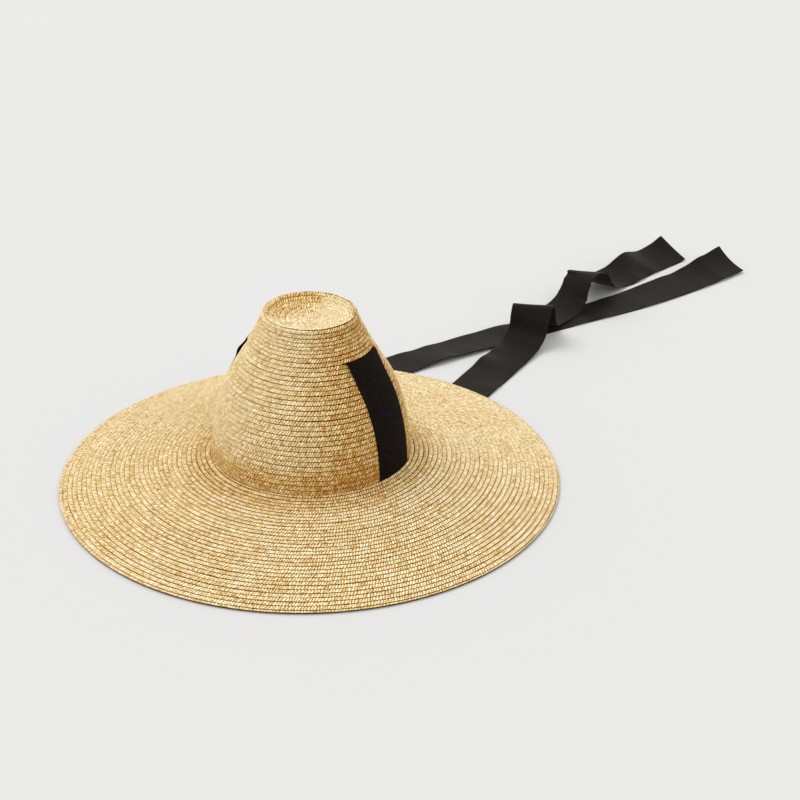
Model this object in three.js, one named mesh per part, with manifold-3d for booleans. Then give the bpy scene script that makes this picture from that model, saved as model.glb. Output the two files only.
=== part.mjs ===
// Wide-brimmed straw sun hat with a black ribbon tie threaded through slits at both sides.
// Millimetres, +Z up. The hat stands on its rim at z = 0 with its front towards -Y.
// The two loose ends of the ribbon leave under the back of the brim and lie on the same surface.

import * as THREE from 'three';
import { mergeVertices } from 'three/addons/utils/BufferGeometryUtils.js';
import Module from 'manifold-3d';

// Straw braid
const turnSegments = 64;
const strawWall = 2;
const seamGap = 0.3;

// Crown: the dished tip, then the outer face of the wall down to the crease
const creaseRadius = 97.6;
const tipOutline = [
  { radius: 0, height: 164.4 },
  { radius: 15, height: 164.8 },
  { radius: 28, height: 166.5 },
  { radius: 36, height: 169.8 },
  { radius: 40.4, height: 173 },
  { radius: 42.4, height: 174 },
];
const wallOutline = [
  { radius: 45.7, height: 171.6 },
  { radius: 50.4, height: 158.5 },
  { radius: 58.6, height: 141.5 },
  { radius: 70.8, height: 121 },
  { radius: 82.2, height: 101 },
  { radius: 89.9, height: 80 },
  { radius: 94.8, height: 58 },
  { radius: 96.8, height: 40 },
  { radius: creaseRadius, height: 24.6 },
];
const wallSteps = 14;

// Brim: a ring that falls away from the crease, gently at first and more steeply at the rim
const rimRadius = 245;
const brimInnerRadius = creaseRadius + seamGap;
const creaseSlope = Math.tan(THREE.MathUtils.degToRad(5.3));
const rimSlope = Math.tan(THREE.MathUtils.degToRad(13.2));
const rimThickness = 2.2;
const rimRowWidth = 4.6;
const rimRounding = 0.8;
const brimSteps = 8;

// The back of the rim stands a little clear of the floor, where the ribbon passes under it
const backLift = 1.5;
const backLiftFlatAngle = THREE.MathUtils.degToRad(22);
const backLiftEndAngle = THREE.MathUtils.degToRad(50);

// Ribbon
const ribbonWidth = 50;
const ribbonThickness = 1;
const halfWidth = ribbonWidth / 2;
const floorClearance = 0.05;
const bandColumns = 6;
const tailColumns = 4;

// Slits between two braid rows that let the ribbon through
const slitLength = 53;
const slitHeight = 3.4;
const slitSegments = 8;
const slitCutReach = 10;
const upperSlitHeight = 137;
const lowerSlitOuterRadius = 101.2;

// Held ribbon: how far its middle stands off the crown at each height, on either side
const stripRows = [
  { height: 21, standRight: 0.9, standLeft: 0.9 },
  { height: 34, standRight: 0.9, standLeft: 0.9 },
  { height: 52, standRight: 0.9, standLeft: 0.9 },
  { height: 70, standRight: 0.9, standLeft: 0.9 },
  { height: 86, standRight: 0.9, standLeft: 0.9 },
  { height: 100, standRight: 0.9, standLeft: 0.9 },
  { height: 110, standRight: 1, standLeft: 0.9 },
  { height: 118, standRight: 1.1, standLeft: 1.5 },
  { height: 125, standRight: 1.3, standLeft: 2.9 },
  { height: 131, standRight: 1.7, standLeft: 2.2 },
  { height: 134.5, standRight: 2.1, standLeft: 2 },
  { height: 136.4, standRight: 1.8, standLeft: 1.8 },
];
const crossingRows = [
  { radius: 60, bow: 1, sag: 0 },
  { radius: 55.5, bow: 1, sag: 0 },
  { radius: 46, bow: 0.6, sag: 0.6 },
  { radius: 32, bow: 0.2, sag: 1.6 },
  { radius: 14, bow: 0, sag: 2.4 },
];

// Loose ends: both drop from the lower slit, turn onto the floor towards -X, and fold back over
// themselves to a new heading. Each route then goes on by hand-chosen points: the place of the
// middle, the height of the lower edge, the angle by which the left edge is raised, and the depth
// by which the middle sags below the two edges.
const dropRadius = 9;
const foldRadius = 2.5;
const foldSteps = 6;
const skewSteps = 3;
const skewRun = 30;
const routeSteps = 2;
const headingProbe = 0.02;
const rightTail = {
  slitSide: 1,
  foldX: 61,
  heading: 90,
  route: [
    { x: 55.5, y: 75, z: 2.2, tilt: 0, cup: 0 },
    { x: 55.5, y: 120, z: 0, tilt: 0, cup: 0 },
    { x: 55.5, y: 180, z: 0, tilt: 0, cup: 0 },
    { x: 55.5, y: 240, z: 0, tilt: 0, cup: 0 },
    { x: 55.7, y: 284, z: 0, tilt: 1, cup: 0 },
    { x: 55.8, y: 318, z: 0, tilt: 5, cup: 0 },
    { x: 56, y: 350, z: 1.2, tilt: 1, cup: 0 },
    { x: 56, y: 376, z: 4, tilt: 0, cup: 0 },
    { x: 56.5, y: 394, z: 13, tilt: 0, cup: 0 },
    { x: 56.5, y: 402, z: 30, tilt: -2, cup: 0 },
    { x: 55, y: 412, z: 42, tilt: -3, cup: 0 },
    { x: 52, y: 426, z: 36, tilt: -2, cup: 0 },
    { x: 49.5, y: 440, z: 16, tilt: 0, cup: 0 },
    { x: 48, y: 452, z: 5.4, tilt: 0, cup: 0 },
    { x: 47.5, y: 464, z: 2.2, tilt: 0, cup: 0 },
    { x: 50, y: 488, z: 2, tilt: 0, cup: 0 },
    { x: 55, y: 517, z: 3, tilt: 0, cup: 0 },
    { x: 59.5, y: 532, z: 14, tilt: -4, cup: 0 },
    { x: 62, y: 539, z: 30, tilt: -8, cup: 0 },
    { x: 65, y: 548, z: 39, tilt: -11, cup: 0 },
    { x: 67, y: 564, z: 37, tilt: -8, cup: 0 },
    { x: 66, y: 588, z: 21, tilt: -3, cup: 0 },
    { x: 66, y: 617, z: 6, tilt: 2, cup: 0 },
    { x: 69, y: 642, z: 0.6, tilt: 8, cup: 0 },
    { x: 77.5, y: 668, z: 0, tilt: 15, cup: 0 },
    { x: 85.5, y: 704, z: 0, tilt: 25, cup: 0 },
    { x: 94.5, y: 745, z: 0, tilt: 16, cup: 0 },
    { x: 109, y: 791, z: 0, tilt: 29, cup: 0 },
  ],
};
const leftTail = {
  slitSide: -1,
  foldX: -125,
  heading: 72.5,
  route: [
    { x: -108, y: 66, z: 2.2, tilt: 0, cup: 0 },
    { x: -94.5, y: 107, z: 0, tilt: 0, cup: 0 },
    { x: -79, y: 156, z: 0, tilt: 0, cup: 0 },
    { x: -63.5, y: 206, z: 0, tilt: 0, cup: 0 },
    { x: -46.5, y: 257, z: 0, tilt: 0, cup: 0 },
    { x: -25.5, y: 306, z: 0, tilt: -5, cup: 0 },
    { x: -4, y: 351, z: 0, tilt: -2, cup: 0 },
    { x: 16, y: 394, z: 0, tilt: 0, cup: 0 },
    { x: 36.5, y: 435, z: 0, tilt: 0, cup: 0 },
    { x: 56, y: 474, z: 0, tilt: 0, cup: 0 },
    { x: 76.5, y: 513, z: 0, tilt: 0, cup: 0 },
    { x: 99, y: 554, z: 0, tilt: 0, cup: 0 },
    { x: 131, y: 619, z: 0, tilt: 6, cup: 0 },
    { x: 162, y: 697, z: 0, tilt: 10, cup: 0 },
    { x: 180, y: 747, z: 0, tilt: 20, cup: 2 },
    { x: 193, y: 787, z: 0, tilt: 26, cup: 3 },
  ],
};

// Colours
const strawColour = 0xd9b16a;
const strawRoughness = 0.6;
const ribbonColour = 0x191716;
const ribbonRoughness = 0.85;

// Corners closer than this are one corner
const weldDistance = 1e-4;

const wasm = await Module();
wasm.setup();

// A closed geometry with shared corners and no flat triangles
function weld(geometry) {
  geometry.deleteAttribute('normal');
  geometry.deleteAttribute('uv');
  const merged = mergeVertices(geometry, weldDistance);
  const corners = merged.index.array;
  const kept = [];
  for (let i = 0; i < corners.length; i += 3) {
    const [a, b, c] = corners.slice(i, i + 3);
    if (a !== b && b !== c && c !== a) kept.push(a, b, c);
  }
  merged.setIndex(kept);
  return merged;
}

function toManifold(geometry) {
  const welded = weld(geometry);
  return new wasm.Manifold(new wasm.Mesh({
    numProp: 3,
    vertProperties: new Float32Array(welded.attributes.position.array),
    triVerts: new Uint32Array(welded.index.array),
  }));
}

function cut(geometry, cutters) {
  let solid = toManifold(geometry);
  for (const cutter of cutters) solid = solid.subtract(toManifold(cutter));
  const mesh = solid.getMesh();
  const result = new THREE.BufferGeometry();
  result.setAttribute('position', new THREE.BufferAttribute(mesh.vertProperties, 3));
  result.setIndex(new THREE.BufferAttribute(mesh.triVerts, 1));
  return result;
}

// A lathe about +Z of a profile of (radius, height) points
function turned(profile) {
  return new THREE.LatheGeometry(profile, turnSegments).rotateX(Math.PI / 2);
}

// A slice of a ring, for cutting a slit that follows the braid rows
function ringSlice(innerRadius, outerRadius, arcLength, arcRadius, low, high, side) {
  const halfAngle = arcLength / arcRadius / 2;
  const middle = side > 0 ? 0 : Math.PI;
  const shape = new THREE.Shape();
  shape.absarc(0, 0, outerRadius, middle - halfAngle, middle + halfAngle, false);
  shape.absarc(0, 0, innerRadius, middle + halfAngle, middle - halfAngle, true);
  const extrusion = { depth: high - low, bevelEnabled: false, curveSegments: slitSegments };
  return new THREE.ExtrudeGeometry(shape, extrusion).translate(0, 0, low);
}

// Crown
const tip = tipOutline.map(({ radius, height }) => new THREE.Vector2(radius, height));
const wall = new THREE.SplineCurve(
  wallOutline.map(({ radius, height }) => new THREE.Vector2(radius, height)),
).getPoints(wallSteps);

function wallRadius(height) {
  const below = wall.findIndex((point) => point.y <= height);
  const low = below < 0 ? wall[wall.length - 1] : wall[below];
  const high = below < 1 ? low : wall[below - 1];
  if (high === low) return low.x;
  return THREE.MathUtils.mapLinear(height, low.y, high.y, low.x, high.x);
}

// A copy of an outline moved to its right-hand side, which is the inside of the crown
function movedIn(outline, distance) {
  return outline.map((point, i) => {
    const before = outline[Math.max(i - 1, 0)];
    const after = outline[Math.min(i + 1, outline.length - 1)];
    const along = after.clone().sub(before).normalize();
    const moved = new THREE.Vector2(point.x + along.y * distance, point.y - along.x * distance);
    if (point.x === 0) moved.x = 0;
    return moved;
  });
}

function crownGeometry() {
  const outside = [...tip, ...wall];
  const inside = movedIn(outside, strawWall);
  inside[inside.length - 1].y = wall[wall.length - 1].y;
  const slits = [1, -1].map((side) => ringSlice(
    wallRadius(upperSlitHeight) - slitCutReach,
    wallRadius(upperSlitHeight) + slitCutReach,
    slitLength,
    wallRadius(upperSlitHeight),
    upperSlitHeight - slitHeight / 2,
    upperSlitHeight + slitHeight / 2,
    side,
  ));
  return cut(turned([...inside, ...outside.reverse()]), slits);
}

// Brim
const brimWidth = rimRadius - brimInnerRadius;
const creaseHeight = rimThickness + brimWidth * (creaseSlope + rimSlope) / 2;

function brimTop(radius) {
  const out = radius - brimInnerRadius;
  return creaseHeight - creaseSlope * out - (rimSlope - creaseSlope) * out * out / (2 * brimWidth);
}

// The lift of the rim at the back, fading out sideways and towards the crown
function liftAt(x, y) {
  const fromBack = Math.abs(Math.atan2(x, y));
  const sideways = 1 - THREE.MathUtils.smoothstep(fromBack, backLiftFlatAngle, backLiftEndAngle);
  const outwards = Math.max(0, (Math.hypot(x, y) - brimInnerRadius) / brimWidth);
  return backLift * sideways * outwards * outwards;
}

function brimGeometry() {
  const flatInner = rimRadius - rimRowWidth;
  const radii = Array.from({ length: brimSteps + 1 }, (_, i) => (
    THREE.MathUtils.lerp(brimInnerRadius, flatInner - strawWall, i / brimSteps)
  ));
  const top = radii.map((radius) => new THREE.Vector2(radius, brimTop(radius)));
  const underside = radii.map((radius) => new THREE.Vector2(radius, brimTop(radius) - strawWall));
  const rim = [
    new THREE.Vector2(flatInner, 0),
    new THREE.Vector2(rimRadius - rimRounding, 0),
    new THREE.Vector2(rimRadius, rimRounding),
    new THREE.Vector2(rimRadius, rimThickness - rimRounding),
    new THREE.Vector2(rimRadius - rimRounding, brimTop(rimRadius - rimRounding)),
  ];
  const ring = turned([...underside, ...rim, ...top.reverse(), underside[0]]);
  const place = ring.attributes.position;
  for (let i = 0; i < place.count; i += 1) {
    place.setZ(i, place.getZ(i) + liftAt(place.getX(i), place.getY(i)));
  }
  const slits = [1, -1].map((side) => ringSlice(
    brimInnerRadius - slitCutReach,
    lowerSlitOuterRadius,
    slitLength,
    brimInnerRadius,
    creaseHeight - slitCutReach,
    creaseHeight + slitCutReach,
    side,
  ));
  return cut(ring, slits);
}

// A ribbon from a grid of points on its middle surface, rows along it and columns across it
function ribbonGeometry(rows) {
  const columns = rows[0].length;
  const places = [];
  const faces = [];
  const step = (i, j, di, dj) => {
    const ahead = rows[Math.min(i + di, rows.length - 1)][Math.min(j + dj, columns - 1)];
    const behind = rows[Math.max(i - di, 0)][Math.max(j - dj, 0)];
    return ahead.clone().sub(behind);
  };
  for (let i = 0; i < rows.length; i += 1) {
    for (let j = 0; j < columns; j += 1) {
      const normal = step(i, j, 1, 0).cross(step(i, j, 0, 1)).setLength(ribbonThickness / 2);
      places.push(...rows[i][j].clone().add(normal).toArray());
      places.push(...rows[i][j].clone().sub(normal).toArray());
    }
  }
  const front = (i, j) => 2 * (i * columns + j);
  const back = (i, j) => front(i, j) + 1;
  const quad = (a, b, c, d) => faces.push(a, b, c, a, c, d);
  const last = rows.length - 1;
  const edge = columns - 1;
  for (let i = 0; i < last; i += 1) {
    for (let j = 0; j < edge; j += 1) {
      quad(front(i, j), front(i + 1, j), front(i + 1, j + 1), front(i, j + 1));
      quad(back(i, j), back(i, j + 1), back(i + 1, j + 1), back(i + 1, j));
    }
    quad(back(i, 0), back(i + 1, 0), front(i + 1, 0), front(i, 0));
    quad(front(i, edge), front(i + 1, edge), back(i + 1, edge), back(i, edge));
  }
  for (let j = 0; j < edge; j += 1) {
    quad(front(0, j), front(0, j + 1), back(0, j + 1), back(0, j));
    quad(back(last, j), back(last, j + 1), front(last, j + 1), front(last, j));
  }
  const geometry = new THREE.BufferGeometry();
  geometry.setAttribute('position', new THREE.BufferAttribute(new Float32Array(places), 3));
  geometry.setIndex(faces);
  return geometry;
}

function acrossRibbon(columns) {
  const count = columns + 1;
  return Array.from({ length: count }, (_, j) => THREE.MathUtils.lerp(-halfWidth, halfWidth, j / columns));
}

// A row of the held ribbon: bow 1 wraps it round the crown at that radius, bow 0 leaves it flat
function heldRow(side, radius, height, bow) {
  return acrossRibbon(bandColumns).map((across) => {
    const angle = across / radius;
    const inwards = bow * radius * (1 - Math.cos(angle));
    const sideways = THREE.MathUtils.lerp(across, radius * Math.sin(angle), bow);
    return new THREE.Vector3(side * (radius - inwards), sideways, height);
  });
}

function bandGeometry() {
  const rows = [];
  for (const { height, standRight } of stripRows) {
    rows.push(heldRow(1, wallRadius(height) + standRight, height, 1));
  }
  for (const { radius, bow, sag } of crossingRows) {
    rows.push(heldRow(1, radius, upperSlitHeight - sag, bow));
  }
  for (const { radius, bow, sag } of crossingRows.toReversed()) {
    rows.push(heldRow(-1, radius, upperSlitHeight - sag, bow));
  }
  for (const { height, standLeft } of stripRows.toReversed()) {
    rows.push(heldRow(-1, wallRadius(height) + standLeft, height, 1));
  }
  return ribbonGeometry(rows);
}

// A loose end starts just below the held ribbon, falls straight, and turns onto the floor
const startRadius = wallRadius(stripRows[0].height) + stripRows[0].standRight;
const startHeight = stripRows[0].height - seamGap;
const floorHeight = ribbonThickness / 2 + floorClearance;
const drop = startHeight - floorHeight - dropRadius;
const turnLength = dropRadius * Math.PI / 2;

// The first stretch of a loose end, along its length and across it: down from the slit and round
// onto the floor towards -X, then turned over along the fold line
function foldedPoint(tail, foldNormal, along, across) {
  const turn = THREE.MathUtils.clamp((along - drop) / dropRadius, 0, Math.PI / 2);
  const flatRun = Math.max(0, along - drop - turnLength);
  const fall = Math.min(along, drop) + dropRadius * Math.sin(turn);
  const bow = 1 - THREE.MathUtils.smoothstep(along, 0, drop + turnLength);
  const bowInwards = bow * startRadius * (1 - Math.cos(across / startRadius));
  const sideways = THREE.MathUtils.lerp(across, startRadius * Math.sin(across / startRadius), bow);
  const flat = new THREE.Vector2(
    tail.slitSide * (startRadius - bowInwards) - dropRadius * (1 - Math.cos(turn)) - flatRun,
    sideways,
  );
  const height = startHeight - fall;
  const past = foldNormal.dot(flat.clone().sub(new THREE.Vector2(tail.foldX, 0)));
  if (past <= 0) return new THREE.Vector3(flat.x, flat.y, height);
  const angle = Math.min(past / foldRadius, Math.PI);
  const back = foldRadius * Math.sin(angle) - Math.max(0, past - foldRadius * Math.PI);
  flat.addScaledVector(foldNormal, back - past);
  return new THREE.Vector3(flat.x, flat.y, height + foldRadius * (1 - Math.cos(angle)));
}

// Catmull-Rom blend of a column of the route table
function blend(route, column, index, share) {
  const at = (i) => route[THREE.MathUtils.clamp(i, 0, route.length - 1)][column];
  const [before, from, to, after] = [at(index - 1), at(index), at(index + 1), at(index + 2)];
  const fromSlope = (to - before) / 2;
  const toSlope = (after - from) / 2;
  const squared = share * share;
  const cubed = squared * share;
  return (2 * cubed - 3 * squared + 1) * from + (cubed - 2 * squared + share) * fromSlope
    + (3 * squared - 2 * cubed) * to + (cubed - squared) * toSlope;
}

function tailGeometry(tail) {
  const across = acrossRibbon(tailColumns);
  const headingAngle = THREE.MathUtils.degToRad(tail.heading);
  const foldAngle = (Math.PI + headingAngle) / 2;
  const foldNormal = new THREE.Vector2(-Math.sin(foldAngle), Math.cos(foldAngle));
  const foldAlong = drop + turnLength + tail.slitSide * startRadius - dropRadius - tail.foldX;
  const foldEnd = foldAlong + foldRadius * Math.PI / -foldNormal.x;
  const fullSkew = foldNormal.y / foldNormal.x;
  const stations = [
    { along: 0, skew: 0 },
    { along: drop / 2, skew: 0 },
    { along: drop, skew: 0 },
  ];
  const skewStart = foldAlong - skewRun;
  if (skewStart > drop + turnLength) stations.push({ along: drop + turnLength, skew: 0 });
  for (let i = 0; i <= skewSteps; i += 1) {
    stations.push({ along: skewStart + skewRun * i / skewSteps, skew: fullSkew * i / skewSteps });
  }
  for (let i = 1; i <= foldSteps; i += 1) {
    stations.push({ along: THREE.MathUtils.lerp(foldAlong, foldEnd, i / foldSteps), skew: fullSkew });
  }
  for (let i = 1; i <= skewSteps; i += 1) {
    stations.push({ along: foldEnd + skewRun * i / skewSteps, skew: fullSkew * (1 - i / skewSteps) });
  }
  const rows = stations.map(({ along, skew }) => (
    across.map((offset) => foldedPoint(tail, foldNormal, along + skew * offset, offset))
  ));
  const middle = tailColumns / 2;
  const exit = rows[rows.length - 1][middle];
  const route = [{ x: exit.x, y: exit.y, z: exit.z - floorHeight, tilt: 0, cup: 0 }, ...tail.route];
  const centre = (index, share) => {
    const tilt = THREE.MathUtils.degToRad(blend(route, 'tilt', index, share));
    const rise = Math.max(0, blend(route, 'z', index, share)) + halfWidth * Math.abs(Math.sin(tilt));
    const [x, y] = ['x', 'y'].map((column) => blend(route, column, index, share));
    return new THREE.Vector3(x, y, floorHeight + rise);
  };
  for (let index = 0; index < route.length - 1; index += 1) {
    for (let i = 1; i <= routeSteps; i += 1) {
      const share = i / routeSteps;
      const place = centre(index, share);
      const along = centre(index, share).sub(centre(index, share - headingProbe)).normalize();
      const left = new THREE.Vector3(-along.y, along.x, 0).normalize();
      left.applyAxisAngle(along, THREE.MathUtils.degToRad(blend(route, 'tilt', index, share)));
      const up = along.clone().cross(left);
      const cup = Math.max(0, blend(route, 'cup', index, share));
      rows.push(across.map((offset) => (
        place.clone().addScaledVector(left, offset).addScaledVector(up, cup * (offset / halfWidth) ** 2)
      )));
    }
  }
  return ribbonGeometry(rows);
}

// The hat
function piece(name, geometry, color, roughness) {
  const mesh = new THREE.Mesh(geometry, new THREE.MeshStandardMaterial({ color, roughness, metalness: 0 }));
  mesh.name = name;
  return mesh;
}

const hat = new THREE.Group();
hat.add(piece('crown', crownGeometry(), strawColour, strawRoughness));
hat.add(piece('brim', brimGeometry(), strawColour, strawRoughness));
hat.add(piece('ribbon_band', bandGeometry(), ribbonColour, ribbonRoughness));
hat.add(piece('ribbon_tail_left', tailGeometry(leftTail), ribbonColour, ribbonRoughness));
hat.add(piece('ribbon_tail_right', tailGeometry(rightTail), ribbonColour, ribbonRoughness));

export default hat;
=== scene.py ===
import math

import bpy
import numpy as np
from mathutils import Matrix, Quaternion, Vector


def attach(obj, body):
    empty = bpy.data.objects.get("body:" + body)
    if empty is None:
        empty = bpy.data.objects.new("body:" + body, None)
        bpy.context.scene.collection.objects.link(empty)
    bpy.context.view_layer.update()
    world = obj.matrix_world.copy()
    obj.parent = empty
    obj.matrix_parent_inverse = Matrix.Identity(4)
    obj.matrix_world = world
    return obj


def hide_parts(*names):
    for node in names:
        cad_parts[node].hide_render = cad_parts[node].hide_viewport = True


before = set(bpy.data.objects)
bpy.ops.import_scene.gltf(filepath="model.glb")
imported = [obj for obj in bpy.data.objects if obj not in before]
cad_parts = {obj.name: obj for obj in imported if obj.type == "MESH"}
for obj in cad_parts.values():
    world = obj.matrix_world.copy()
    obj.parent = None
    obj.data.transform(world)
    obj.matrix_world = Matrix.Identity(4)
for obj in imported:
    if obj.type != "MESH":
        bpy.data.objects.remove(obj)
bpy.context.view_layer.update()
bpy.ops.object.select_all(action="DESELECT")

# Camera. It stands in front of the hat, above it and round to the side of one slit, with a short
# telephoto lens, and is turned very slightly about its own line of sight.
mm = 0.001
camera_place = Vector((618.0, -951.7, 635.3)) * mm
camera_target = Vector((-1.4, 182.9, 0)) * mm
camera_roll = math.radians(0.926)
line_of_sight = (camera_target - camera_place).to_track_quat("-Z", "Y")
bpy.ops.object.camera_add(location=camera_place)
camera = bpy.context.object
camera.rotation_euler = (line_of_sight @ Quaternion((0, 0, 1), camera_roll)).to_euler()
camera.data.sensor_width = 36
camera.data.lens = 58.5
bpy.context.scene.camera = camera

# Loose ribbon ends. Black grosgrain ribbon, 50 mm wide, woven with fine ribs across it and a firm
# selvedge along both edges. Each end drops from its slit at the crease, is turned over once under
# the brim and lies limp on the surface behind the hat, where it is cut off.
ribbon_width = 50 * mm
ribbon_thickness = 0.6 * mm
selvedge_thickness = 0.45 * mm
selvedge_width = 1.2 * mm
ribbon_columns = 7
rib_pitch = 1.2 * mm
rib_height = 0.07 * mm
half_width = ribbon_width / 2
ribbon_across = np.concatenate([
    [-half_width],
    np.linspace(selvedge_width - half_width, half_width - selvedge_width, ribbon_columns),
    [half_width],
])

start_radius = 98.5 * mm
start_height = 20.7 * mm
floor_height = 0.55 * mm
drop_radius = 9 * mm
fold_radius = 2.5 * mm
skew_run = 30 * mm
drop = start_height - floor_height - drop_radius
turn_length = drop_radius * math.pi / 2
stretch_steps = 24
first_step = 2 * mm
ripple_height = 2.2 * mm
ripple_run = 19 * mm
ripple_steps = 4
cut_run = 40 * mm

# The strips on the crown's sides lean a little, so each end starts turned round the crown with
# its strip. The left end is cut a little aslant
strip_lean = math.radians(-2)
right_end = {"slit_side": 1, "lean": strip_lean, "fold_x": 61 * mm, "heading": math.radians(90)}
left_end = {"slit_side": -1, "lean": -strip_lean, "fold_x": -125 * mm, "heading": math.radians(72.5)}
right_end["cut_slant"] = 0
left_end["cut_slant"] = 3 * mm

# Places that each end's middle passes: x, y and the height of its lower edge in mm, the angle in
# degrees by which its left edge is raised, and the depth in mm by which its middle sags
right_end["route"] = [
    (55.5, 75, 2.2, 0, 0), (55.5, 120, 0, 0, 0), (55.5, 180, 0, 0, 0), (55.5, 240, 0, 0, 0),
    (55.7, 284, 0, 1, 0), (55.8, 318, 0, 5, 0), (56, 350, 1.2, 1, 0), (56, 376, 4, 0, 0),
    (56.5, 394, 13, 0, 0), (56.5, 402, 30, -2, 0), (55, 412, 42, -3, 0), (52, 426, 36, -2, 0),
    (49.5, 440, 16, 0, 0), (48, 452, 5.4, 0, 0), (47.5, 464, 2.2, 0, 0), (50, 488, 2, 0, 0),
    (55, 517, 3, 0, 0), (59.5, 532, 14, -4, 0), (62, 539, 30, -8, 0), (65, 548, 39, -11, 0),
    (67, 564, 37, -8, 0), (66, 588, 21, -3, 0), (66, 617, 6, 2, 0), (69, 642, 0.6, 8, 0),
    (77.5, 668, 0, 15, 0), (85.5, 704, 0, 25, 0), (94.5, 745, 0, 16, 0), (109, 791, 0, 29, 0),
]
left_end["route"] = [
    (-108, 66, 2.2, 0, 0), (-94.5, 107, 0, 0, 0), (-79, 156, 0, 0, 0), (-63.5, 206, 0, 0, 0),
    (-46.5, 257, 0, 0, 0), (-25.5, 306, 0, -5, 0), (-4, 351, 0, -2, 0), (16, 394, 0, 0, 0),
    (36.5, 435, 0, 0, 0), (56, 474, 0, 0, 0), (76.5, 513, 0, 0, 0), (99, 554, 0, 0, 0),
    (131, 619, 0, 6, 0), (162, 697, 0, 10, 0), (180, 747, 0, 20, 2), (193, 787, 0, 26, 3),
]


def eased(rows, steps):
    """Rows on a smooth curve through the given rows, with so many steps to each stretch."""
    rows = np.array(rows, dtype=float)
    padded = np.vstack([rows[:1], rows, rows[-1:]])
    share = np.arange(steps)[:, None] / steps
    squared = share ** 2
    cubed = share ** 3
    stretches = []
    for before, start, end, after in zip(padded, padded[1:], padded[2:], padded[3:]):
        stretches.append(
            (2 * cubed - 3 * squared + 1) * start
            + (cubed - 2 * squared + share) * (end - before) / 2
            + (3 * squared - 2 * cubed) * end
            + (cubed - squared) * (after - start) / 2
        )
    return np.vstack(stretches + [rows[-1:]])


def smooth_share(value, low, high):
    """0 below low, 1 above high, and a smooth rise between them."""
    share = np.clip((value - low) / (high - low), 0, 1)
    return share * share * (3 - 2 * share)


def unit(vectors):
    """The vectors, each made one long."""
    return vectors / np.linalg.norm(vectors, axis=-1, keepdims=True)


def along_line(line):
    """The distance of each point of a line from its start."""
    return np.concatenate([[0], np.cumsum(np.linalg.norm(np.diff(line, axis=0), axis=1))])


def turned_over(end, along, across):
    """The first stretch of an end: down from the slit, round onto the floor, folded over."""
    fold_angle = (math.pi + end["heading"]) / 2
    fold_normal = np.array([-math.sin(fold_angle), math.cos(fold_angle)])
    turn = np.clip((along - drop) / drop_radius, 0, math.pi / 2)
    flat_run = np.maximum(0, along - drop - turn_length)
    bow = 1 - smooth_share(along, 0, drop + turn_length)
    wrap = across / start_radius + end["lean"]
    bow_in = bow * start_radius * (1 - np.cos(wrap))
    x = end["slit_side"] * (start_radius - bow_in) - drop_radius * (1 - np.cos(turn)) - flat_run
    y = across + bow * (start_radius * np.sin(wrap) - across)
    z = start_height - np.minimum(along, drop) - drop_radius * np.sin(turn)
    past = np.maximum(0, fold_normal[0] * (x - end["fold_x"]) + fold_normal[1] * y)
    angle = np.minimum(past / fold_radius, math.pi)
    back = fold_radius * np.sin(angle) - np.maximum(0, past - fold_radius * math.pi) - past
    height = z + fold_radius * (1 - np.cos(angle))
    return np.stack([x + fold_normal[0] * back, y + fold_normal[1] * back, height], axis=-1)


def loose_end_grid(end, chance):
    """Points on the middle surface of a loose end, rows along it and columns across it."""
    fold_angle = (math.pi + end["heading"]) / 2
    full_skew = -1 / math.tan(fold_angle)
    fold_start = drop + turn_length + end["slit_side"] * start_radius - drop_radius - end["fold_x"]
    fold_stop = fold_start + fold_radius * math.pi / math.sin(fold_angle)
    along = np.arange(0, fold_stop + skew_run, first_step)
    rise = np.interp(along, [fold_start - skew_run, fold_start], [0, 1])
    skew = full_skew * rise * np.interp(along, [fold_stop, fold_stop + skew_run], [1, 0])
    first = turned_over(end, along[:, None] + skew[:, None] * ribbon_across, ribbon_across)
    exit_row = turned_over(end, np.array([[fold_stop + skew_run]]), np.array([[0.0]]))[0, 0] / mm
    exit_height = exit_row[2] - floor_height / mm
    route = eased([(exit_row[0], exit_row[1], exit_height, 0, 0)] + end["route"], stretch_steps)
    x, y, edge_height, edge_angle, sag = route.T
    tilt = np.radians(edge_angle)
    lift = np.maximum(0, edge_height) * mm + half_width * np.abs(np.sin(tilt))
    middle = np.column_stack([x * mm, y * mm, floor_height + lift])
    heading = unit(np.gradient(middle, axis=0))
    level = unit(np.cross([0, 0, 1], heading))
    up = np.cross(heading, level)
    left = level * np.cos(tilt)[:, None] + up * np.sin(tilt)[:, None]
    up = np.cross(heading, left)
    cup = np.maximum(0, sag)[:, None] * mm * (ribbon_across / half_width) ** 2
    second = middle[:, None] + left[:, None] * ribbon_across[:, None] + up[:, None] * cup[..., None]
    grid = np.vstack([first, second[1:]])
    run = along_line(grid[:, len(ribbon_across) // 2])
    knots = np.arange(0, run[-1] + ripple_run, ripple_run)
    share = (1 + ribbon_across / half_width) / 2
    cut = smooth_share(run, run[-1] - cut_run, run[-1])[:, None] * share * end["cut_slant"]
    grid += cut[..., None] * unit(np.gradient(grid, axis=0))
    for edge_share in (share, 1 - share):
        heights = eased(chance.uniform(0, ripple_height, (len(knots), 1)), ripple_steps)[:, 0]
        edge_lift = np.interp(run, np.linspace(0, knots[-1], len(heights)), heights)
        grid[..., 2] += np.maximum(0, edge_lift)[:, None] * edge_share ** 2
    return grid


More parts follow.
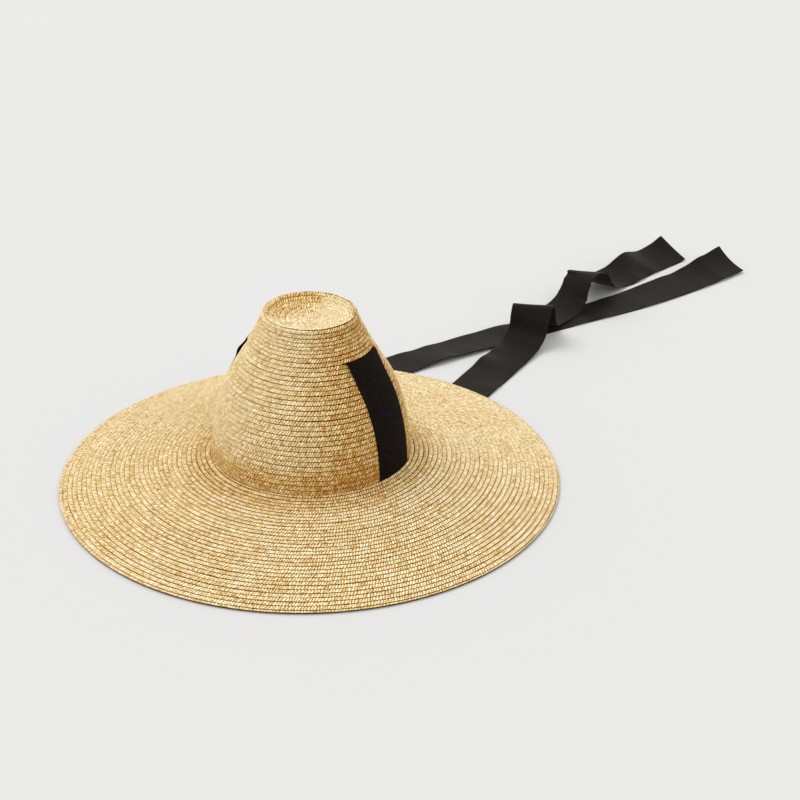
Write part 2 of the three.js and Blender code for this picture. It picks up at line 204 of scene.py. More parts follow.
def mesh_piece(name, places, quads, corner_uv):
    """A smooth mesh object from arrays of places, four-cornered faces and pattern places."""
    mesh = bpy.data.meshes.new(name)
    mesh.vertices.add(len(places))
    mesh.vertices.foreach_set("co", places.ravel())
    mesh.loops.add(quads.size)
    mesh.loops.foreach_set("vertex_index", quads.ravel())
    mesh.polygons.add(len(quads))
    mesh.polygons.foreach_set("loop_start", np.arange(len(quads)) * 4)
    mesh.update(calc_edges=True)
    mesh.uv_layers.new(name="along_piece").data.foreach_set("uv", corner_uv.ravel())
    mesh.shade_smooth()
    piece = bpy.data.objects.new(name, mesh)
    bpy.context.collection.objects.link(piece)
    return piece


def ribbon_piece(name, grid):
    """A closed ribbed ribbon about the middle surface that a grid of points gives."""
    columns = grid.shape[1]
    run = along_line(grid[:, columns // 2])
    rows = 2 * round(run[-1] / rib_pitch)
    even_run = np.linspace(0, run[-1], rows + 1)
    middle = np.empty((rows + 1, columns, 3))
    for column in range(columns):
        for axis in range(3):
            middle[:, column, axis] = np.interp(even_run, run, grid[:, column, axis])
    normal = unit(np.cross(np.gradient(middle, axis=0), np.gradient(middle, axis=1)))
    half = np.full((rows + 1, columns), ribbon_thickness / 2)
    half[::2] += rib_height
    half[:, [0, -1]] = selvedge_thickness / 2
    offset = normal * half[..., None]
    places = np.concatenate([(middle + offset).reshape(-1, 3), (middle - offset).reshape(-1, 3)])
    front = np.arange((rows + 1) * columns).reshape(rows + 1, columns)
    back = front + front.size
    faces = [
        np.stack([front[:-1, :-1], front[1:, :-1], front[1:, 1:], front[:-1, 1:]], axis=-1),
        np.stack([back[:-1, :-1], back[:-1, 1:], back[1:, 1:], back[1:, :-1]], axis=-1),
        np.stack([back[:-1, 0], back[1:, 0], front[1:, 0], front[:-1, 0]], axis=-1),
        np.stack([front[:-1, -1], front[1:, -1], back[1:, -1], back[:-1, -1]], axis=-1),
        np.stack([front[0, :-1], front[0, 1:], back[0, 1:], back[0, :-1]], axis=-1),
        np.stack([back[-1, :-1], back[-1, 1:], front[-1, 1:], front[-1, :-1]], axis=-1),
    ]
    quads = np.concatenate([group.reshape(-1, 4) for group in faces])
    across, along = np.meshgrid(ribbon_across + half_width, even_run)
    uv = np.column_stack([across.ravel(), along.ravel()])
    piece = mesh_piece(name, places, quads, np.concatenate([uv, uv])[quads.ravel()])
    return piece, middle[:, columns // 2], run[-1]


def linear(colour):
    """The linear colour of an sRGB hex value."""
    channels = [int(colour[place:place + 2], 16) / 255 for place in (1, 3, 5)]
    return [c / 12.92 if c <= 0.04045 else ((c + 0.055) / 1.055) ** 2.4 for c in channels] + [1]


def add_node(material, kind, options=(), values=(), links=(), shades=()):
    """Adds a node with its options, input values, links from other outputs and placed hex shades."""
    node = material.node_tree.nodes.new(kind)
    for name, option in dict(options).items():
        setattr(node, name, option)
    for socket, value in dict(values).items():
        node.inputs[socket].default_value = value
    for socket, source in dict(links).items():
        material.node_tree.links.new(source, node.inputs[socket])
    ramp = node.color_ramp.elements if shades else []
    while len(ramp) < len(shades):
        ramp.new(0.5)
    for element, (position, shade) in zip(ramp, shades):
        element.position = position
        element.color = linear(shade)
    return node


# Grosgrain: a warm black viscose weave, nearly matt, with a faint warm sheen where it turns away.
# The ribs are in the mesh. The yarns, finer than a pixel, are drawn 0.5 mm wide so that they show.
grosgrain = bpy.data.materials.new("black_grosgrain")
grosgrain.use_nodes = True
yarn_width = 0.5 * mm
yarn_length = 6 * mm
ribbon_uv = add_node(grosgrain, "ShaderNodeUVMap", {"uv_map": "along_piece"})
yarn_place = add_node(
    grosgrain, "ShaderNodeMapping", values={"Scale": (1 / yarn_length, 1 / yarn_width, 1)},
    links={"Vector": ribbon_uv.outputs["UV"]},
)
yarns = add_node(
    grosgrain, "ShaderNodeTexNoise", values={"Scale": 1, "Detail": 3},
    links={"Vector": yarn_place.outputs["Vector"]},
)
yarn_colour = add_node(
    grosgrain, "ShaderNodeValToRGB", links={"Fac": yarns.outputs["Fac"]},
    shades=[(0.36, "#060504"), (0.68, "#221c19")],
)
yarn_bump = add_node(
    grosgrain, "ShaderNodeBump", values={"Strength": 0.6, "Distance": 0.1 * mm},
    links={"Height": yarns.outputs["Fac"]},
)
grosgrain_shader = grosgrain.node_tree.nodes["Principled BSDF"]
grosgrain_shader.inputs["Roughness"].default_value = 0.62
grosgrain_shader.inputs["Specular IOR Level"].default_value = 0.08
grosgrain_shader.inputs["Sheen Weight"].default_value = 0.07
grosgrain_shader.inputs["Sheen Roughness"].default_value = 0.4
for tint in ("Specular Tint", "Sheen Tint"):
    grosgrain_shader.inputs[tint].default_value = linear("#fff4ec")
grosgrain.node_tree.links.new(yarn_colour.outputs["Color"], grosgrain_shader.inputs["Base Color"])
grosgrain.node_tree.links.new(yarn_bump.outputs["Normal"], grosgrain_shader.inputs["Normal"])

tail_chance = np.random.default_rng(5)
for tail_name, node_name, end in (
    ("right_ribbon_end", "ribbon_tail_right", right_end),
    ("left_ribbon_end", "ribbon_tail_left", left_end),
):
    tail, tail_path, tail_length = ribbon_piece(tail_name, loose_end_grid(end, tail_chance))
    tail.data.materials.append(grosgrain)
    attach(tail, "root")
    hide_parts(node_name)

# Crown. One flat braid of split wheat straw, plaited so that the straws lie slanted across it,
# sewn round and round in a spiral from the middle of the tip, each row lapped with the next, and
# blocked into a bell with a dished tip. Two rows part at each side for the ribbon.
straw_pitch = 2.6 * mm
braid_width = 4.6 * mm
start_hole = 0.2 * mm
least_reach = 2 * mm
steps_per_turn = 360
end_overrun = 0.9

# What varies by chance: the row's edges, the straws' widths and places as shares of their pitch,
# the height of their crests, their painted shine as a whole and at each corner, and the painted
# light in grooves
unevenness = 0.1 * mm
unevenness_run = 22 * mm
straw_widths = (0.72, 1.28)
straw_stray = 0.06
crest_roughness = 0.06
straw_shine = (0.94, 1.1)
corner_shine = (0.62, 1.34)
groove_light = (0, 0.2)

# What tight rows add at the groove below a row: painted light, more of it in the plait's upper
# line, and a small real height in mm
tight_light = 0.3
tight_light_upper = 0.5
tight_lift = 0.2

# The braid's cross-section from its upper edge over the outside to its lower edge and back under,
# where a straw comes up in the upper line of the plait and where one comes up in the lower line:
# place across as a share of the row pitch, height in mm, and the painted light there: painted shade
# in the grooves and a painted highlight on the crests
upper_section = np.array([
    (-0.50, -0.90, 0.00), (-0.44, -0.12, 0.85), (-0.20, 0.10, 1.15), (0.17, -0.18, 0.28),
    (0.33, -0.08, 0.60), (0.39, -0.50, 0.00), (0.64, -1.45, 0.00), (0.00, -1.90, 0.90),
])
lower_section = np.array([
    (-0.45, -0.95, 0.00), (-0.39, -0.28, 0.48), (-0.20, -0.20, 0.28), (0.17, 0.14, 1.15),
    (0.39, 0.10, 0.90), (0.45, -0.30, 0.00), (0.64, -1.45, 0.00), (0.00, -1.60, 0.50),
])
section_corners = len(upper_section)
upper_edge = 0
lower_edge = 5
under_edge = 6
sharp_corners = (upper_edge, lower_edge, under_edge)
top_corners = lower_edge - upper_edge - 1
on_top = slice(upper_edge + 1, lower_edge)

# Places of the two lines' straws along the braid, as shares of the straw pitch, each with 0 where
# the lower line comes up and 1 where the upper line does
straw_profile = np.array([(0.0, 0.0), (0.5, 1.0)])
straw_columns = len(straw_profile)

# Outer face of the crown: radius and height in mm, from the middle of the tip to the crease
crown_outline = eased([
    (0, 164.4), (15, 164.8), (28, 166.5), (36, 169.8), (40.4, 173), (42.4, 174), (44.4, 173), (45.8, 170.2),
    (47.6, 165.4), (50.4, 158.5), (58.6, 141.5), (70.8, 121), (82.2, 101), (89.9, 80), (94.8, 58),
    (96.8, 40), (97.6, 24.6),
], stretch_steps) * mm
crown_arc = along_line(crown_outline)
tip_radius = 42.4 * mm
tip_edge = np.interp(tip_radius, crown_outline[:, 0], crown_arc)
wall = crown_arc > tip_edge
upper_slit_height = 138.6 * mm
upper_slit = np.interp(-upper_slit_height, -crown_outline[wall, 1], crown_arc[wall])
slit_radius = 61.5 * mm
slit_length = 53 * mm
slit_lift = 1.0 * mm
slit_gape = 0.5 * mm
slit_fade = 7 * mm
slit_corner = 1 * mm
slit_end_fade = 6 * mm

# The dish lies a little off the middle, and the tip is a little tilted and pressed down
dish_shift = np.array([8, 6]) * mm
dish_level = 160 * mm
tip_slope = 0.045
tip_tilt = np.array([-0.545, 0.839]) * tip_slope
tip_drop = 1.9 * mm
tilted_levels = (146 * mm, 168 * mm)


def around(angle, middle):
    """Angles measured from a middle angle, between minus and plus half a turn."""
    return (angle - middle + math.pi) % (2 * math.pi) - math.pi


def lay_braid(outline, row_edges, first_turn, start_angle, slant, tightness, rows_parted, chance):
    """Corners of a braid laid in a spiral along an outline: rows along it, columns round it."""
    arc = along_line(outline)
    direction = unit(np.gradient(outline, arc, axis=0))
    row_count = np.arange(len(row_edges)) - 1
    last_turn = np.interp(arc[-1], row_edges, row_count) + end_overrun
    turn = np.linspace(first_turn, last_turn, int(steps_per_turn * (last_turn - first_turn)))
    reach = np.interp(np.interp(turn - 0.5, row_count, row_edges), arc, outline[:, 0])
    reach = np.maximum(reach, least_reach)
    run = np.concatenate([[0], np.cumsum(np.diff(turn) * 2 * math.pi * (reach[1:] + reach[:-1]) / 2)])
    straws = int(run[-1] / straw_pitch)
    straw_edges = np.concatenate([[0], np.cumsum(chance.uniform(*straw_widths, straws))])
    straw_edges *= run[-1] / straw_edges[-1]
    straw_at = straw_edges[:-1]
    at = (straw_at[:, None] + straw_profile[:, 0] * np.diff(straw_edges)[:, None]).ravel()
    rise = np.tile(straw_profile[:, 1], straws)[:, None]
    shape = lower_section[None] + rise[..., None] * (upper_section - lower_section)[None]
    knots = np.arange(0, run[-1] + unevenness_run, unevenness_run)
    drift = np.interp(at, knots, chance.normal(0, unevenness, len(knots)))[:, None]
    spread = (at + chance.normal(0, straw_stray, len(at)) * straw_pitch)[:, None]
    turn_near = np.interp(spread, run, turn)
    row_pitch = np.interp(turn_near - 0.5, row_count[1:], np.diff(row_edges))
    across = shape[..., 0] * row_pitch
    turn_at = np.interp(spread - slant * across, run, turn)
    middle = np.interp(turn_at - 0.5, row_count, row_edges)
    angle = start_angle + 2 * math.pi * turn_at
    height = shape[..., 1] * mm
    height[:, on_top] += chance.normal(0, crest_roughness, (len(at), top_corners)) * mm
    # Painted light on each corner: the section's, times each straw's and corner's painted shine, with
    # painted light by chance in the grooves
    shine = np.repeat(chance.uniform(*straw_shine, straws), straw_columns)[:, None]
    light = shape[..., 2] * shine
    light[:, on_top] *= chance.uniform(*corner_shine, (len(at), top_corners))
    light[:, [upper_edge, lower_edge]] += chance.uniform(*groove_light, (len(at), 2))
    # Painted light in the groove below each row where the rows lie tight, and a small real lift
    tight = tightness(angle[:, lower_edge], middle[:, lower_edge])
    light[:, [upper_edge, lower_edge]] += tight[:, None] * (tight_light + tight_light_upper * rise)
    height[:, lower_edge] += tight * tight_lift * mm
    place, height = rows_parted(angle, middle, middle + across + drift, height)
    place = np.clip(place, start_hole if outline[0, 0] == 0 else 0, arc[-1])
    radius = np.interp(place, arc, outline[:, 0]) - height * np.interp(place, arc, direction[:, 1])
    level = np.interp(place, arc, outline[:, 1]) + height * np.interp(place, arc, direction[:, 0])
    places = np.stack([radius * np.cos(angle), radius * np.sin(angle), level], axis=-1)
    return places, light, straw_at


# Tones of the straws, from 0 for orange brown to 1 for cream: the middle one, the length and the
# strength of the patches of like straws, and the spread from straw to straw
middle_tone = 0.6
tone_patches = ((13 * mm, 0.02), (60 * mm, 0.03))
tone_spread = 0.045


def straw_tones(at, chance):
    """A tone for each straw: a chance of its own, on top of patches along the row."""
    tone = np.full(len(at), middle_tone)
    for patch, strength in tone_patches:
        knots = np.arange(0, at[-1] + patch, patch)
        tone += np.interp(at, knots, chance.normal(0, strength, len(knots)))
    return np.clip(tone + chance.normal(0, tone_spread, len(at)), 0, 1)


pattern_run = 0.9


def braid_piece(name, places, light, tones):
    """A closed braid mesh, with the straws' tones on its faces and the painted light on its corners."""
    count = len(places)
    corner = np.arange(count * section_corners).reshape(count, section_corners)
    following = np.roll(corner, -1, axis=1)
    sides = np.stack([following[:-1], following[1:], corner[1:], corner[:-1]], axis=-1).reshape(-1, 4)
    first, last = corner[0], corner[-1]
    fan = range(1, section_corners - 2, 2)
    caps = np.array([[first[place + 2], first[place + 1], first[place], first[0]] for place in fan]
                    + [[last[0], last[place], last[place + 1], last[place + 2]] for place in fan])
    quads = np.concatenate([sides, caps])
    column, node = np.divmod(quads, section_corners)
    straw = np.minimum(np.arange(len(quads)) // (straw_columns * section_corners), len(tones) - 1)
    straw_start = (straw * straw_pitch) % pattern_run
    u = straw_start[:, None] + (column - straw_columns * straw[:, None]) * straw_pitch / straw_columns
    v = (upper_section[:, 0][node] + 1) * braid_width
    piece = mesh_piece(name, places.reshape(-1, 3), quads, np.stack([u, v], axis=-1))
    mesh = piece.data
    ends = np.empty(2 * len(mesh.edges), dtype=np.int32)
    mesh.edges.foreach_get("vertices", ends)
    edge_node = ends.reshape(-1, 2) % section_corners
    on_edge = (edge_node[:, 0] == edge_node[:, 1]) & np.isin(edge_node[:, 0], sharp_corners)
    mesh.attributes.new("sharp_edge", "BOOLEAN", "EDGE").data.foreach_set("value", on_edge)
    mesh.attributes.new("straw_tone", "FLOAT", "FACE").data.foreach_set("value", tones[straw])
    mesh.attributes.new("straw_light", "FLOAT", "POINT").data.foreach_set("value", light.ravel())
    return piece


def braid_pieces(names, places, light, tones):
    """A braid cut into pieces of as many straws each, which keeps every mesh small."""
    cuts = np.linspace(0, len(tones), len(names) + 1).astype(int)
    pieces = []
    for name, first, last in zip(names, cuts, cuts[1:]):
        columns = slice(straw_columns * first, straw_columns * last + 1)
        pieces.append(braid_piece(name, places[columns], light[columns], tones[first:last]))
    return pieces


# The rows are sewn closer at the tip than below, nine and a part from the rim row's lower edge at
# the front to the upper slit
front_angle = math.radians(-57)
rim_row_edge = tip_edge + 1.5 * mm
rows_to_slit = 9 - front_angle / (2 * math.pi)
upper_row_pitch = (upper_slit - rim_row_edge) / rows_to_slit
lower_row_pitch = 4.8 * mm
pitch_change_rows = (20, 34)
most_crown_rows = 60
crown_pitches = np.interp(np.arange(most_crown_rows), pitch_change_rows, (upper_row_pitch, lower_row_pitch))
crown_row_edges = np.concatenate([[-upper_row_pitch, 0], np.cumsum(crown_pitches)])
crown_first_turn = 0.1
crown_slant = 0.1

# The rows lie tight, a little raised with painted light in their grooves, on the dish, at the side
# towards the light and, half as tight, low on the wall. Along the front of the tip's rim one row
# stands open, a little lowered over a painted shadow line
tight_lit_side = math.radians(213)
dish_border = (tip_edge - 8 * mm, tip_edge - 2 * mm)
dish_tightness = 1.5
low_levels = (40 * mm, 85 * mm)
low_tightness = 0.5
open_rim_angle = math.radians(-28)
open_rim_ends = (0.3, 0.8)
open_rim_place = rim_row_edge - 2.2 * mm
open_rim_fade = 1.8 * mm


def crown_tightness_and_groove_light(angle, place):
    """How tightly the rows lie, painting light into the groove below a row: 0 leaves it dark, 1 nearly
    hides it.
    """
    on_dish = 1 - smooth_share(place, *dish_border)
    round_wall = (0.5 + 0.5 * np.cos(angle - tight_lit_side)) ** 2
    low = 1 - smooth_share(np.interp(place, crown_arc, crown_outline[:, 1]), *low_levels)
    tight = np.maximum.reduce([dish_tightness * on_dish, round_wall, low_tightness * low])
    open_rim = smooth_share(np.cos(angle - open_rim_angle), *open_rim_ends)
    open_rim *= np.exp(-((place - open_rim_place) / open_rim_fade) ** 2)
    return tight * (1 - open_rim) - open_rim


def crown_rows_parted(angle, middle, place, height):
    """Parts two rows of the crown at each side, so that the ribbon passes between them."""
    # The spiral passes the left side half a row higher than the right
    for slit_angle in (0, math.pi):
        off = around(angle, slit_angle)
        rows_off = upper_row_pitch * off / (2 * math.pi)
        boundary = upper_slit + rows_off - (slit_angle > 0) * upper_row_pitch / 2
        side = np.where(middle < boundary, 1, -1)
        half = slit_length / 2
        window = 1 - smooth_share(np.abs(off) * slit_radius, half - slit_corner, half + slit_end_fade)
        fade = window * np.exp(-((place - boundary) / slit_fade) ** 2)
        height = height + side * slit_lift * fade
        place = place - side * slit_gape * fade
    return place, height


crown_chance = np.random.default_rng(11)
crown_start = -2 * math.pi * ((upper_slit / upper_row_pitch) % 1)
crown_places, crown_light, crown_at = lay_braid(
    crown_outline, crown_row_edges, crown_first_turn, crown_start, crown_slant,
    crown_tightness_and_groove_light, crown_rows_parted, crown_chance,
)
tip_share = np.clip(1 - (np.hypot(crown_places[..., 0], crown_places[..., 1]) / tip_radius) ** 2, 0, 1)
on_tip = crown_places[..., 2] > dish_level
crown_places[..., :2] += (tip_share * on_tip)[..., None] * dish_shift
tip_near = smooth_share(crown_places[..., 2], *tilted_levels)
crown_places[..., 2] += tip_near * (crown_places[..., :2] @ tip_tilt - tip_drop)

# The straw is browner in the lowest rows, a painted shade near the crease, and round the right strip
# of ribbon, a painted shade on the side away from the light. The wall behind that strip has painted
# light, and the dish painted light with painted shade at its far left
low_painted_shade = 0.3
low_shade_levels = (28 * mm, 66 * mm)
side_painted_shade = 0.36
painted_shade_side = math.radians(10)
painted_shade_side_ends = (0.1, 0.9)
side_painted_light = 0.22
painted_light_side = math.radians(70)
painted_light_side_ends = (0.65, 0.8)
dish_painted_light = 0.08
dish_painted_shade = 0.3
dish_back = np.array([-0.95, 0.3]) / tip_radius
dish_back_ends = (0.1, 0.6)
dish_levels = (158 * mm, 163 * mm)
dish_margin = 1.1
dish_run = dish_margin * math.pi * tip_radius ** 2 / upper_row_pitch
crown_tones = straw_tones(crown_at, crown_chance)
straw_places = crown_places[::straw_columns, 2][:len(crown_tones)]
straw_angle = np.arctan2(straw_places[:, 1], straw_places[:, 0])
on_dish = smooth_share(straw_places[:, 2], *dish_levels) * (crown_at < dish_run)
on_painted_shade_side = smooth_share(np.cos(straw_angle - painted_shade_side), *painted_shade_side_ends)
on_painted_light_side = smooth_share(np.cos(straw_angle - painted_light_side), *painted_light_side_ends)
on_dish_back = smooth_share(straw_places[:, :2] @ dish_back, *dish_back_ends)
crown_tones -= low_painted_shade * (1 - smooth_share(straw_places[:, 2], *low_shade_levels))
crown_tones -= (1 - on_dish) * side_painted_shade * on_painted_shade_side
crown_tones += (1 - on_dish) * side_painted_light * on_painted_light_side
crown_tones += on_dish * (dish_painted_light - dish_painted_shade * on_dish_back)
crown_tones = np.clip(crown_tones, 0, 1)
crown_names = ("crown_braid_upper", "crown_braid_lower")
crown_pieces = braid_pieces(crown_names, crown_places, crown_light, crown_tones)

# Wheat straw: split, flattened and shiny, each straw its own shade from cream to orange brown, with
# fine fibres and specks, a painted highlight that makes it paler on its crest, and a painted white
# glint on some crests. The grooves between straws and rows hold painted brown shade. The fibres,
# finer than a pixel, are drawn 0.4 mm wide and the specks above 1 mm, so that they show.
wheat_straw = bpy.data.materials.new("wheat_straw")
wheat_straw.use_nodes = True
fibre_width = 0.4 * mm
fibre_length = 9 * mm
fibre_strength = 0.4
speckle_width = 1.15 * mm
speckle_length = 1.6 * mm
speckle_strength = 0.5
crest_highlight_strength = 0.3
crest_level = 0.8
glint_levels = (1.1, 1.5)
tone_value = add_node(wheat_straw, "ShaderNodeAttribute", {"attribute_name": "straw_tone"})
light_value = add_node(wheat_straw, "ShaderNodeAttribute", {"attribute_name": "straw_light"})
straw_uv = add_node(wheat_straw, "ShaderNodeUVMap", {"uv_map": "along_piece"})
fibre_place = add_node(
    wheat_straw, "ShaderNodeMapping", values={"Scale": (1 / fibre_width, 1 / fibre_length, 1)},
    links={"Vector": straw_uv.outputs["UV"]},
)
fibres = add_node(
    wheat_straw, "ShaderNodeTexNoise", values={"Scale": 1, "Detail": 2},
    links={"Vector": fibre_place.outputs["Vector"]},
)
fibre_shift = add_node(
    wheat_straw, "ShaderNodeMath", {"operation": "MULTIPLY_ADD"},
    {1: fibre_strength, 2: -fibre_strength / 2}, {0: fibres.outputs["Fac"]},
)
fibre_tone = add_node(
    wheat_straw, "ShaderNodeMath", {"operation": "ADD"},
    links={0: tone_value.outputs["Fac"], 1: fibre_shift.outputs["Value"]},
)
speckle_place = add_node(
    wheat_straw, "ShaderNodeVectorMath", {"operation": "SNAP"},
    {1: (speckle_width, speckle_length, 1)}, {0: straw_uv.outputs["UV"]},
)
speckle = add_node(
    wheat_straw, "ShaderNodeTexWhiteNoise", {"noise_dimensions": "2D"},
    links={"Vector": speckle_place.outputs["Vector"]},
)
speckle_shift = add_node(
    wheat_straw, "ShaderNodeMath", {"operation": "MULTIPLY_ADD"},
    {1: speckle_strength, 2: -speckle_strength / 2}, {0: speckle.outputs["Value"]},
)
speckle_tone = add_node(
    wheat_straw, "ShaderNodeMath", {"operation": "ADD"},
    links={0: fibre_tone.outputs["Value"], 1: speckle_shift.outputs["Value"]},
)
# Painted highlight: where the painted light is high, the crest's tone is paler
painted_crest_highlight = add_node(
    wheat_straw, "ShaderNodeMath", {"operation": "MULTIPLY_ADD"},
    {1: crest_highlight_strength, 2: -crest_highlight_strength * crest_level}, {0: light_value.outputs["Fac"]},
)
crest_tone = add_node(
    wheat_straw, "ShaderNodeMath", {"operation": "ADD"},
    links={0: speckle_tone.outputs["Value"], 1: painted_crest_highlight.outputs["Value"]},
)
straw_colour = add_node(
    wheat_straw, "ShaderNodeValToRGB", links={"Fac": crest_tone.outputs["Value"]},
    shades=[(0.0, "#b9863a"), (0.3, "#d5b068"), (0.6, "#ecd9a5"), (1.0, "#fdf5de")],
)
# Painted shade: where the painted light is low, the grooves are darkened to brown
painted_groove_shade = add_node(
    wheat_straw, "ShaderNodeValToRGB", links={"Fac": light_value.outputs["Fac"]},
    shades=[(0.0, "#2e1900"), (0.3, "#a98232"), (0.8, "#ffffff")],
)
groove_shaded_colour = add_node(
    wheat_straw, "ShaderNodeMix", {"data_type": "RGBA", "blend_type": "MULTIPLY"}, {0: 1.0},
    {6: straw_colour.outputs["Color"], 7: painted_groove_shade.outputs["Color"]},
)
# Painted glint: the highest painted light turns the straw near white
glint_share = add_node(
    wheat_straw, "ShaderNodeMapRange",
    values={"From Min": glint_levels[0], "From Max": glint_levels[1]},
    links={"Value": light_value.outputs["Fac"]},
)
glint_colour = add_node(
    wheat_straw, "ShaderNodeMix", {"data_type": "RGBA"}, {7: linear("#fffcee")},
    {0: glint_share.outputs["Result"], 6: groove_shaded_colour.outputs[2]},
)
fibre_bump = add_node(
    wheat_straw, "ShaderNodeBump", values={"Strength": 0.3, "Distance": 0.1 * mm},
    links={"Height": fibres.outputs["Fac"]},
)
straw_shader = wheat_straw.node_tree.nodes["Principled BSDF"]
straw_shader.inputs["Roughness"].default_value = 0.42
straw_shader.inputs["Specular IOR Level"].default_value = 0.03
wheat_straw.node_tree.links.new(glint_colour.outputs[2], straw_shader.inputs["Base Color"])
wheat_straw.node_tree.links.new(fibre_bump.outputs["Normal"], straw_shader.inputs["Normal"])

for crown_piece in crown_pieces:
    crown_piece.data.materials.append(wheat_straw)
    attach(crown_piece, "root")
    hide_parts("crown")

# Brim. The same braid goes on from the crease in flat rings that fall away, gently at first and
# more steeply at the rim. It is one spiral, made here as three pieces. The rim is a little raised
# at the back, over the ribbon, and the first rows give way to the ribbon at both sides.
brim_inner_radius = 97.9 * mm
rim_radius = 245 * mm
brim_width = rim_radius - brim_inner_radius
crease_slope = math.tan(math.radians(5.3))
rim_slope = math.tan(math.radians(13.2))
rim_thickness = 2.2 * mm
crease_height = rim_thickness + brim_width * (crease_slope + rim_slope) / 2
crease_turn_height = 1.4 * mm
crease_turn_run = 4 * mm
brim_points = 300
brim_out = np.linspace(0, brim_width, brim_points)
brim_fall = crease_slope * brim_out + (rim_slope - crease_slope) * brim_out ** 2 / (2 * brim_width)
crease_turn = crease_turn_height * np.exp(-brim_out / crease_turn_run)
brim_outline = np.column_stack([brim_inner_radius + brim_out, crease_height - brim_fall + crease_turn])
back_lift = 1.5 * mm
back_lift_ends = (math.radians(22), math.radians(50))
lowest_straw = 0.05 * mm
lower_slit_give = 1.1 * mm
lower_slit_fade = 8 * mm
lower_slit_rise = 1.2 * mm
brim_rows = 31.6
most_brim_rows = 40
brim_row_pitch = brim_width / brim_rows
brim_row_edges = np.arange(-1, most_brim_rows) * brim_row_pitch
brim_first_turn = 0.05
brim_start = math.pi / 2
brim_slant = -0.15

# The rows lie open, with painted shade in their grooves, at the right front, further round along the
# crease, and tight, with painted light in their grooves, elsewhere
open_side = math.radians(-45)
open_side_ends = (math.radians(35), math.radians(85))
crease_ends = (5 * mm, 45 * mm)
crease_opening = math.radians(30)
open_tightness = 0.05
closed_tightness = 0.95


def off_open_shaded_side(angle, out):
    """0 where the brim's rows lie open over painted shade, at the right front, and 1 at the back and left.
    """
    near_crease = 1 - smooth_share(out, *crease_ends)
    off = np.abs(around(angle, open_side)) - near_crease * crease_opening
    return smooth_share(off, *open_side_ends)


def brim_tightness_and_groove_light(angle, place):
    """How tightly the rows of the brim lie, with painted light in their grooves, as on the crown."""
    return open_tightness + (closed_tightness - open_tightness) * off_open_shaded_side(angle, place)


def brim_rows_parted(angle, middle, place, height):
    """Moves the first rows of the brim outwards and up at both sides, clear of the ribbon."""
    for slit_angle in (strip_lean, math.pi + strip_lean):
        off = np.abs(around(angle, slit_angle)) * brim_inner_radius
        half = slit_length / 2
        window = 1 - smooth_share(off, half - slit_corner, half + slit_end_fade)
        give = window * np.exp(-np.maximum(place, 0) / lower_slit_fade)
        place = np.where(window > 0, np.maximum(place, 0), place) + lower_slit_give * give
        height = height + lower_slit_rise * give
    return place, height


brim_chance = np.random.default_rng(23)
brim_places, brim_light, brim_at = lay_braid(
    brim_outline, brim_row_edges, brim_first_turn, brim_start, brim_slant,
    brim_tightness_and_groove_light, brim_rows_parted, brim_chance,
)
from_back = np.abs(np.arctan2(brim_places[..., 0], brim_places[..., 1]))
lift_round = 1 - smooth_share(from_back, *back_lift_ends)
lift_out = (np.hypot(brim_places[..., 0], brim_places[..., 1]) - brim_inner_radius) / brim_width
brim_places[..., 2] += back_lift * lift_round * np.maximum(0, lift_out) ** 2
brim_places[..., 2] = np.maximum(brim_places[..., 2], lowest_straw)

# The straw of the brim has a little painted light at the back, painted shade along the crease and a
# little painted shade at the left
back_painted_light = 0.02
back_painted_light_ends = (math.radians(60), math.radians(100))
crease_painted_shade = 0.16
crease_painted_shade_ends = (5 * mm, 35 * mm)
left_painted_shade = 0.04
left_ends = (0, 0.5)
brim_tones = straw_tones(brim_at, brim_chance)
brim_straws = brim_places[::straw_columns, 2][:len(brim_tones)]
straw_out = np.hypot(brim_straws[:, 0], brim_straws[:, 1]) - brim_inner_radius
straw_angle = np.arctan2(brim_straws[:, 1], brim_straws[:, 0])
at_back = 1 - smooth_share(np.abs(around(straw_angle, painted_light_side)), *back_painted_light_ends)
at_crease = 1 - smooth_share(straw_out, *crease_painted_shade_ends)
at_left = off_open_shaded_side(straw_angle, straw_out) * smooth_share(-np.cos(straw_angle), *left_ends)
brim_tones += back_painted_light * at_back - crease_painted_shade * at_crease - left_painted_shade * at_left
brim_tones = np.clip(brim_tones, 0, 1)
brim_names = ("brim_braid_inner", "brim_braid_middle", "brim_braid_outer")
for brim_piece in braid_pieces(brim_names, brim_places, brim_light, brim_tones):
    brim_piece.data.materials.append(wheat_straw)
    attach(brim_piece, "root")
    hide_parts("brim")

# Held ribbon. The middle of the same grosgrain ribbon, threaded up through the slit at the crease,
# flat up one side of the crown, in through the upper slit, across inside and down the other side.
strip_steps = 8
lean_start = 43 * mm
left_slit_rise = 1.8 * mm
left_rise_levels = (90 * mm, 120 * mm)

# The strips on the crown's sides: height, and how far the middle of the right and of the left strip
# stands off the straw, in mm
strip_rows = eased([
    (21, 0.9, 0.9), (34, 0.6, 0.5), (52, 0.5, 0.4), (70, 0.5, 0.4), (86, 0.5, 0.4), (100, 0.5, 0.5),
    (110, 0.6, 0.55), (116, 0.75, 1.2), (120, 0.85, 2.5), (124, 1, 3.5), (127, 1.2, 2.7), (131, 1.5, 1.6),
    (135, 1.8, 1.4), (138, 1.9, 1.4),
], strip_steps) * mm

# Half of the way across inside: radius in mm, the share of the crown's roundness, and sag in mm
crossing_rows = np.array([(60, 1, 0), (55.5, 1, 0), (46, 0.6, 0.6), (32, 0.2, 1.6), (14, 0, 2.4)])


def held_row(side, radius, height, bow):
    """A row of points across the held ribbon: bow 1 wraps it round the crown, bow 0 leaves it flat."""
    lean = max(0, radius - lean_start) / (start_radius - lean_start) * strip_lean
    angle = ribbon_across / radius + side * lean
    x = side * (radius - bow * radius * (1 - np.cos(angle)))
    y = ribbon_across + bow * (radius * np.sin(angle) - ribbon_across)
    return np.column_stack([x, y, np.full(len(x), height)])


def wall_radius(height):
    """The outer radius of the crown's wall at a height."""
    return np.interp(-height, -crown_outline[wall, 1], crown_outline[wall, 0])


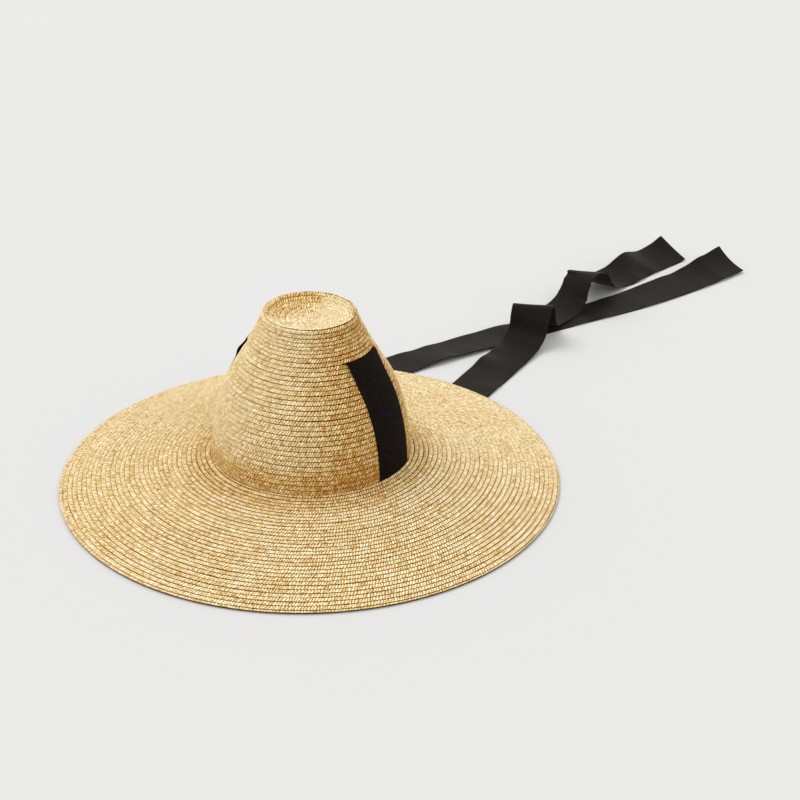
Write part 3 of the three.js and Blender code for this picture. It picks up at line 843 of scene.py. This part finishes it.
right_height, right_stand, left_stand = strip_rows.T
left_height = right_height + left_slit_rise * smooth_share(right_height, *left_rise_levels)
right_radius = wall_radius(right_height) + right_stand
left_radius = wall_radius(left_height) + left_stand
held_rows = [held_row(1, radius, height, 1) for radius, height in zip(right_radius, right_height)]
for radius, bow, sag in crossing_rows:
    held_rows.append(held_row(1, radius * mm, upper_slit_height - sag * mm, bow))
for radius, bow, sag in crossing_rows[::-1]:
    rise_here = left_slit_rise * radius / crossing_rows[0, 0]
    held_rows.append(held_row(-1, radius * mm, upper_slit_height - sag * mm + rise_here, bow))
for radius, height in zip(left_radius[::-1], left_height[::-1]):
    held_rows.append(held_row(-1, radius, height, 1))
held, _, held_length = ribbon_piece("held_ribbon", np.array(held_rows))

# Shaded grosgrain: the same ribbon, drawn tight and flat, with almost no shine and no sheen, a painted
# shade that makes it look deeper black, as on the crown's side away from the light
shaded_grosgrain = grosgrain.copy()
shaded_grosgrain.name = "black_grosgrain_shaded"
shaded_grosgrain_shader = shaded_grosgrain.node_tree.nodes["Principled BSDF"]
shaded_grosgrain_shader.inputs["Specular IOR Level"].default_value = 0.02
shaded_grosgrain_shader.inputs["Sheen Weight"].default_value = 0
held.data.materials.append(shaded_grosgrain)
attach(held, "root")
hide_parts("ribbon_band")

# Floor and light. A plain floor of pale matt studio paper, one large soft light from above and the
# camera's left, a little behind the hat, and an even pale surround.
bpy.ops.mesh.primitive_plane_add(size=24, location=(0, 0, 0))
floor = bpy.context.object
floor.name = "studio_floor"
floor_paper = bpy.data.materials.new("studio_paper")
floor_paper.use_nodes = True
floor_shader = floor_paper.node_tree.nodes["Principled BSDF"]
floor_shader.inputs["Base Color"].default_value = linear("#cdcdcc")
floor_shader.inputs["Roughness"].default_value = 0.9
floor_shader.inputs["Specular IOR Level"].default_value = 0.1
floor.data.materials.append(floor_paper)

light_place = Vector((-0.9, -0.1, 1.5))
bpy.ops.object.light_add(type="SUN", location=light_place)
soft_light = bpy.context.object
soft_light.data.angle = math.radians(40)
soft_light.data.energy = 1.05
soft_light.data.color = linear("#fffefc")[:3]
soft_light.rotation_euler = (-light_place).to_track_quat("-Z", "Y").to_euler()

surround = bpy.data.worlds.new("pale_surround")
surround.use_nodes = True
surround.node_tree.nodes["Background"].inputs["Color"].default_value = linear("#fcfcfc")
surround.node_tree.nodes["Background"].inputs["Strength"].default_value = 1.1
bpy.context.scene.world = surround
bpy.context.scene.view_settings.view_transform = "Standard"
